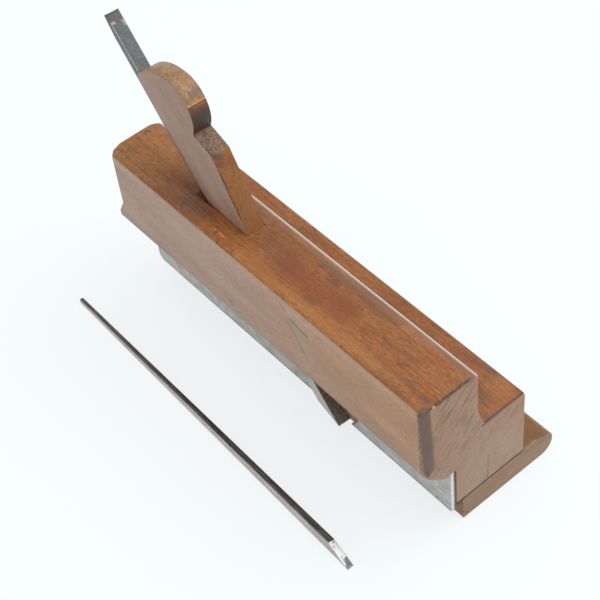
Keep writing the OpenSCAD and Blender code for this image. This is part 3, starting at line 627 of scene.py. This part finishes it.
spareMarks = [
    ((69.7, -70.4, 5.2), (70.5, -70.4, 4.8), 0.22, 0.8, 0.4, 0.75, (110, 110, 112)),
    ((67.6, -69.5, 6.1), (68.8, -69.5, 5.7), 0.25, 0.7, 0.3, 0.9, (58, 50, 48)),
    ((74, -70.4, 2.8), (76.4, -70.6, 1.4), 0.22, 0.8, 0.5, 0.75, (98, 97, 94)),
    ((68.4, -71.1, 5.9), (76.8, -71.2, 1.2), 0.25, 0.8, 0.3, 0.6, (246, 248, 246)),
]


# the spare iron's black back, and its ground bevel, whose tip has dulled
def spareColour(tree, place, facing, colour, scratches):
    look = steelSets["spare"]
    split = axesOf(tree, place)
    streaks = ramp(tree, noise(tree, place, 0.8, 3, 0.7, (0.06, 1, 1)), 0.42, 0.6)
    back = paint(tree, look["back"], look["backDark"], streaks, 0.9)
    back = paint(tree, back, look["backScratch"], scratches, 0.6)
    uneven = calc(tree, "ADD", split["X"], calc(tree, "MULTIPLY", noise(tree, place, 1.0, 3, 0.7), 5))
    up = ramp(tree, facing["Z"], 0.3, 0.6)
    ground = paint(tree, look["bevel"], look["bevelDull"],
                   ramp(tree, noise(tree, place, 1.2, 4, 0.75), 0.54, 0.7))
    colour = paint(tree, colour, ground, calc(tree, "MULTIPLY", up, ramp(tree, split["X"], 67.6, 68)))
    # the dull part starts further back on the side next to the plane
    slanting = calc(tree, "MULTIPLY", calc(tree, "ADD", split["Y"], 69.4), 1.3)
    tip = calc(tree, "ADD", split["X"], calc(tree, "MULTIPLY", noise(tree, place, 1.6, 4, 0.75), 9))
    tip = calc(tree, "ADD", tip, slanting)
    dull = paint(tree, look["tip"], look["tipDark"],
                 ramp(tree, noise(tree, place, 0.8, 3, 0.7), 0.42, 0.6))
    colour = paint(tree, colour, dull, calc(tree, "MULTIPLY", up, ramp(tree, tip, 79.3, 80.1)), 0.85)
    onBack = calc(tree, "MULTIPLY", ramp(tree, facing["Z"], 0.5, 0.8), ramp(tree, uneven, 70.9, 70.5))
    return paint(tree, colour, back, onBack)


# the fitted iron's speckle, with a brown face and a bright side near the cutting edge
def ironColour(tree, place, facing, colour):
    look = steelSets["iron"]
    split = axesOf(tree, place)
    speckle = ramp(tree, noise(tree, place, 1.1, 4, 0.8), 0.5, 0.66)
    colour = paint(tree, colour, look["speckle"], speckle, 0.4)
    side = ramp(tree, calc(tree, "ABSOLUTE", facing["Y"]), 0.6, 0.85)
    low = ramp(tree, split["Z"], 30, 20)
    rusty = paint(tree, look["rust"], look["rustLight"],
                  ramp(tree, noise(tree, place, 1.3, 4, 0.75), 0.4, 0.6))
    rusty = paint(tree, rusty, look["rustLow"], ramp(tree, split["Z"], 9, 3), 0.4)
    colour = paint(tree, colour, rusty, low, 0.8)
    colour = paint(tree, colour, look["sideLow"], calc(tree, "MULTIPLY", low, side), 0.85)
    sideHigh = calc(tree, "MULTIPLY", side, ramp(tree, split["Z"], 20, 30))
    return paint(tree, colour, look["side"], sideHigh, 0.6)


def steel(name, marks, origin=(0, 0, 0), turn=(0, 0, 0)):
    look = steelSets[name]
    material, tree, shader, place, facing = startMaterial(name + "Metal", origin, turn)
    surface = useGroup(tree, "steel", {"Place": place, "Slant": look["slant"]})
    colour = paint(tree, look["colour"], look["dark"], surface["Blotches"], 0.6)
    colour = paint(tree, colour, look["light"], surface["Brushed"], 0.3)
    colour = paint(tree, colour, look["light"], surface["Scratches"], 0.5)
    colour = paint(tree, colour, look["dark"], surface["Pits"], 0.55)
    if name == "spare":
        colour = spareColour(tree, place, facing, colour, surface["Scratches"])
    if name == "iron":
        colour = ironColour(tree, place, facing, colour)
    wear = useGroup(tree, "wear", {"Place": place, "Breakup": 0.7})["Mask"]
    colour = paint(tree, colour, look["edge"], wear, 0.6)
    colour = addMarks(tree, place, colour, marks)
    tree.links.new(colour, shader.inputs["Base Color"])
    rough = ramp(tree, surface["Brushed"], 0, 1, look["roughness"] + 0.1, look["roughness"] - 0.06)
    tree.links.new(rough, shader.inputs["Roughness"])
    height = calc(tree, "MULTIPLY", surface["Brushed"], 0.4)
    height = calc(tree, "SUBTRACT", height, surface["Scratches"])
    bump = addNode(tree, "ShaderNodeBump", {"Height": height, "Strength": 0.3,
                   "Distance": 0.04 * millimetre})
    tree.links.new(bump.outputs[0], shader.inputs["Normal"])
    shader.inputs["Metallic"].default_value = look["metallic"]
    return material


materials = {
    "stockTop": stockWood("oldBeechTop", marksOn(stockMarks, 2, stockFaces["top"])),
    "stockLow": stockWood("oldBeechLow", marksOn(stockMarks, 2, stockFaces["shoulder"])),
    "stockSide": stockWood("oldBeechSide", marksOn(stockMarks, 1, stockFaces["sides"])),
    "stockEnd": stockWood("oldBeechEnd", marksOn(stockMarks, 0, stockFaces["ends"])),
    "fence": fenceWood(),
    "wedge": wedgeWood(),
    "skate": steel("skate", skateMarks),
    "iron": steel("iron", ironMarks, bedOrigin, bedTurn),
    "spare": steel("spare", spareMarks),
    "screw": steel("screw", []),
    "brassPlate": steel("brassPlate", []),
    "brassScrew": steel("brassScrew", []),
}
print("materials made")


# how a copy is cleaned and eased: distances in metres, angles in degrees
easeSet = {
    "merge": 0.00001,
    "flat": 0.4,
    "sharp": 32,
    "smooth": 35,
    "segments": 2,
    "facing": 0.6,
    "topAbove": 0.065,
}


# a softened copy of a node: its arrises are eased by a width in millimetres, as use has eased them
def easedCopy(nodeName, pieceName, body, looks, width, cutters=()):
    piece = bpy.data.objects.new(pieceName, nodes[nodeName].data.copy())
    bpy.context.scene.collection.objects.link(piece)
    bpy.ops.object.select_all(action="DESELECT")
    piece.select_set(True)
    bpy.context.view_layer.objects.active = piece
    bpy.ops.object.mode_set(mode="EDIT")
    bpy.ops.mesh.select_all(action="SELECT")
    bpy.ops.mesh.remove_doubles(threshold=easeSet["merge"])
    bpy.ops.mesh.dissolve_limited(angle_limit=math.radians(easeSet["flat"]))
    bpy.ops.object.mode_set(mode="OBJECT")
    for cutter in cutters:
        cut = piece.modifiers.new("chip", "BOOLEAN")
        cut.object = cutter
        cut.operation = "DIFFERENCE"
        cut.solver = "EXACT"
        bpy.ops.object.modifier_apply(modifier=cut.name)
    ease = piece.modifiers.new("ease", "BEVEL")
    ease.width = width * millimetre
    ease.segments = easeSet["segments"]
    ease.limit_method = "ANGLE"
    ease.angle_limit = math.radians(easeSet["sharp"])
    bpy.ops.object.modifier_apply(modifier=ease.name)
    piece.data.materials.clear()
    for look in looks:
        piece.data.materials.append(materials[look])
    # several looks are those of the top, the shoulder, the sides and the ends
    if len(looks) > 1:
        for face in piece.data.polygons:
            up = face.normal.z > easeSet["facing"]
            high = face.center.z > easeSet["topAbove"]
            end = abs(face.normal.x) > easeSet["facing"]
            face.material_index = 0 if up and high else 1 if up else 3 if end else 2
    bpy.ops.object.shade_smooth_by_angle(angle=math.radians(easeSet["smooth"]))
    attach(piece, body)
    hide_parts(nodeName)
    print("eased", pieceName, len(piece.data.polygons))


# small chips out of the stock's arrises: place, size and turn
chipSet = {
    "toeTopRight": ((92.3, -36.6, 82.9), (0.6, 1.3, 0.6), 20),
    "toeTopMiddle": ((92.3, -30.4, 82.9), (0.5, 1.6, 0.5), -6),
    "toeTopLeft": ((92.4, -18.4, 82.7), (0.6, 1.0, 0.7), -30),
    "chamferTop": ((91.9, -43.3, 79), (0.7, 0.5, 1.0), 30),
    "chamferMiddle": ((91.9, -43.4, 66), (0.7, 0.6, 0.8), 30),
    "chamferFoot": ((91.9, -43.4, 57), (0.7, 0.6, 0.9), 30),
    "mortiseStart": ((-44.8, -31.7, 82.8), (1.3, 0.5, 0.6), 10),
    "mortiseUpper": ((-41.4, -31.7, 82.8), (1.8, 0.55, 0.7), 4),
    "shoulderToe": ((92.3, -4, 50.6), (0.5, 1.4, 0.5), 15),
    "shoulderMiddle": ((92.3, 2.4, 50.6), (0.45, 1.0, 0.45), -10),
    "fenceSideToe": ((92.4, 7.9, 50.2), (1.1, 1.0, 1.8), 0),
}


def makeChips():
    chips = []
    for name, (place, size, turn) in chipSet.items():
        bpy.ops.object.select_all(action="DESELECT")
        bpy.ops.mesh.primitive_ico_sphere_add(subdivisions=2, radius=millimetre,
                                              location=[v * millimetre for v in place])
        chip = bpy.context.object
        chip.name = "cutter" + name
        chip.scale = size
        chip.rotation_euler = (0, 0, math.radians(turn))
        bpy.ops.object.transform_apply(location=True, rotation=True, scale=True)
        chips.append(chip)
    return chips


chips = makeChips()
easedCopy("stock", "wornStock", "stock",
          ("stockTop", "stockLow", "stockSide", "stockEnd"), width=0.5, cutters=chips)
for chip in chips:
    bpy.data.objects.remove(chip)
easedCopy("fence", "wornFence", "fence", ["fence"], width=0.4)
easedCopy("wedge", "wornWedge", "wedge", ["wedge"], width=0.4)
easedCopy("cutting_iron", "fittedIron", "cutting_iron", ["iron"], width=0.15)
easedCopy("skate_rear", "rearPlate", "stock", ["skate"], width=0.12)
easedCopy("skate_front", "frontPlate", "stock", ["skate"], width=0.12)
easedCopy("spare_iron", "secondIron", "spare_iron", ["spare"], width=0.12)

# the small metal nodes keep their shapes
nodeLooks = {
    "skate_screws_rear": "screw",
    "skate_screws_front": "screw",
    "fence_screw_heel": "screw",
    "fence_screw_toe": "screw",
    "slot_plate_heel": "brassPlate",
    "slot_plate_toe": "brassPlate",
    "slot_plate_screws_heel": "brassScrew",
    "slot_plate_screws_toe": "brassScrew",
}
for name, look in nodeLooks.items():
    nodes[name].data.materials.clear()
    nodes[name].data.materials.append(materials[look])
print("pieces made")


# pale floor that keeps the shadow and can be looked through from below
stageSet = {
    "size": 6.0,
    "height": -0.0001,
    "floor": (0.86, 0.94, 1.0, 1),
    "glow": (0.972, 0.998, 1.0, 1),
    "glowShare": 0.78,
    "world": 0.8,
    "sky": (0.94, 0.97, 1.0, 1),
    "keySize": 0.9,
    "keyPower": 6.0,
    "keyPlace": (0.35, 0.45, 1.0),
    # in millimetres: half the length and width of the clear place under the fence, how far it lies
    # to the right, and how close to the floor a ray starts that passes through it anywhere
    "clearLength": 92,
    "clearWidth": 22,
    "clearOffset": 2,
    "clearNear": 0.8,
}


# 1 for rays that show the background: straight from the camera, in a reflection or through glass
def showsBackground(tree):
    path = addNode(tree, "ShaderNodeLightPath").outputs
    shown = calc(tree, "MAXIMUM", path["Is Camera Ray"], path["Is Glossy Ray"])
    return calc(tree, "MAXIMUM", shown, path["Is Transmission Ray"])


def makeStage():
    bpy.ops.object.select_all(action="DESELECT")
    bpy.ops.mesh.primitive_plane_add(size=stageSet["size"], location=(0, 0, stageSet["height"]))
    floor = bpy.context.object
    floor.name = "floor"
    material = bpy.data.materials.new("paleFloor")
    material.use_nodes = True
    tree = material.node_tree
    tree.nodes.remove(tree.nodes["Principled BSDF"])
    base = addNode(tree, "ShaderNodeBsdfDiffuse", {"Color": stageSet["floor"]}).outputs[0]
    glow = addNode(tree, "ShaderNodeEmission", {"Color": stageSet["glow"], "Strength": 1.0}).outputs[0]
    share = calc(tree, "MULTIPLY", showsBackground(tree), stageSet["glowShare"])
    mixed = addNode(tree, "ShaderNodeMixShader", {0: share, 1: base, 2: glow}).outputs[0]
    clear = addNode(tree, "ShaderNodeBsdfTransparent").outputs[0]
    below = addNode(tree, "ShaderNodeNewGeometry").outputs["Backfacing"]
    # light reaches an underside that rests on the floor, and the slots over the fence's own place
    path = addNode(tree, "ShaderNodeLightPath").outputs
    where = addNode(tree, "ShaderNodeTexCoord").outputs["Object"]
    spot = axesOf(tree, where)
    along = calc(tree, "ABSOLUTE", spot["X"])
    along = calc(tree, "LESS_THAN", along, stageSet["clearLength"] * millimetre)
    aside = calc(tree, "ABSOLUTE", calc(tree, "ADD", spot["Y"], stageSet["clearOffset"] * millimetre))
    across = calc(tree, "LESS_THAN", aside, stageSet["clearWidth"] * millimetre)
    close = calc(tree, "LESS_THAN", path["Ray Length"], stageSet["clearNear"] * millimetre)
    close = calc(tree, "MAXIMUM", close, calc(tree, "MULTIPLY", along, across))
    close = calc(tree, "MULTIPLY", close, calc(tree, "SUBTRACT", 1.0, path["Is Camera Ray"]))
    unseen = calc(tree, "MAXIMUM", below, close)
    whole = addNode(tree, "ShaderNodeMixShader", {0: unseen, 1: mixed, 2: clear}).outputs[0]
    tree.links.new(whole, tree.nodes["Material Output"].inputs["Surface"])
    floor.data.materials.append(material)
    world = bpy.data.worlds.new("studio")
    bpy.context.scene.world = world
    world.use_nodes = True
    tree = world.node_tree
    bright = showsBackground(tree)
    background = tree.nodes["Background"].inputs
    tree.links.new(ramp(tree, bright, 0, 1, stageSet["world"], 1), background["Strength"])
    tree.links.new(paint(tree, stageSet["sky"], (1, 1, 1, 1), bright), background["Color"])
    lamp = bpy.data.lights.new("softBox", "AREA")
    lamp.size = stageSet["keySize"]
    lamp.energy = stageSet["keyPower"]
    key = bpy.data.objects.new("softBox", lamp)
    bpy.context.scene.collection.objects.link(key)
    key.location = stageSet["keyPlace"]
    key.rotation_euler = (-key.location).to_track_quat("-Z", "Y").to_euler()
    bpy.context.scene.view_settings.view_transform = "Standard"


makeStage()
print("stage set")
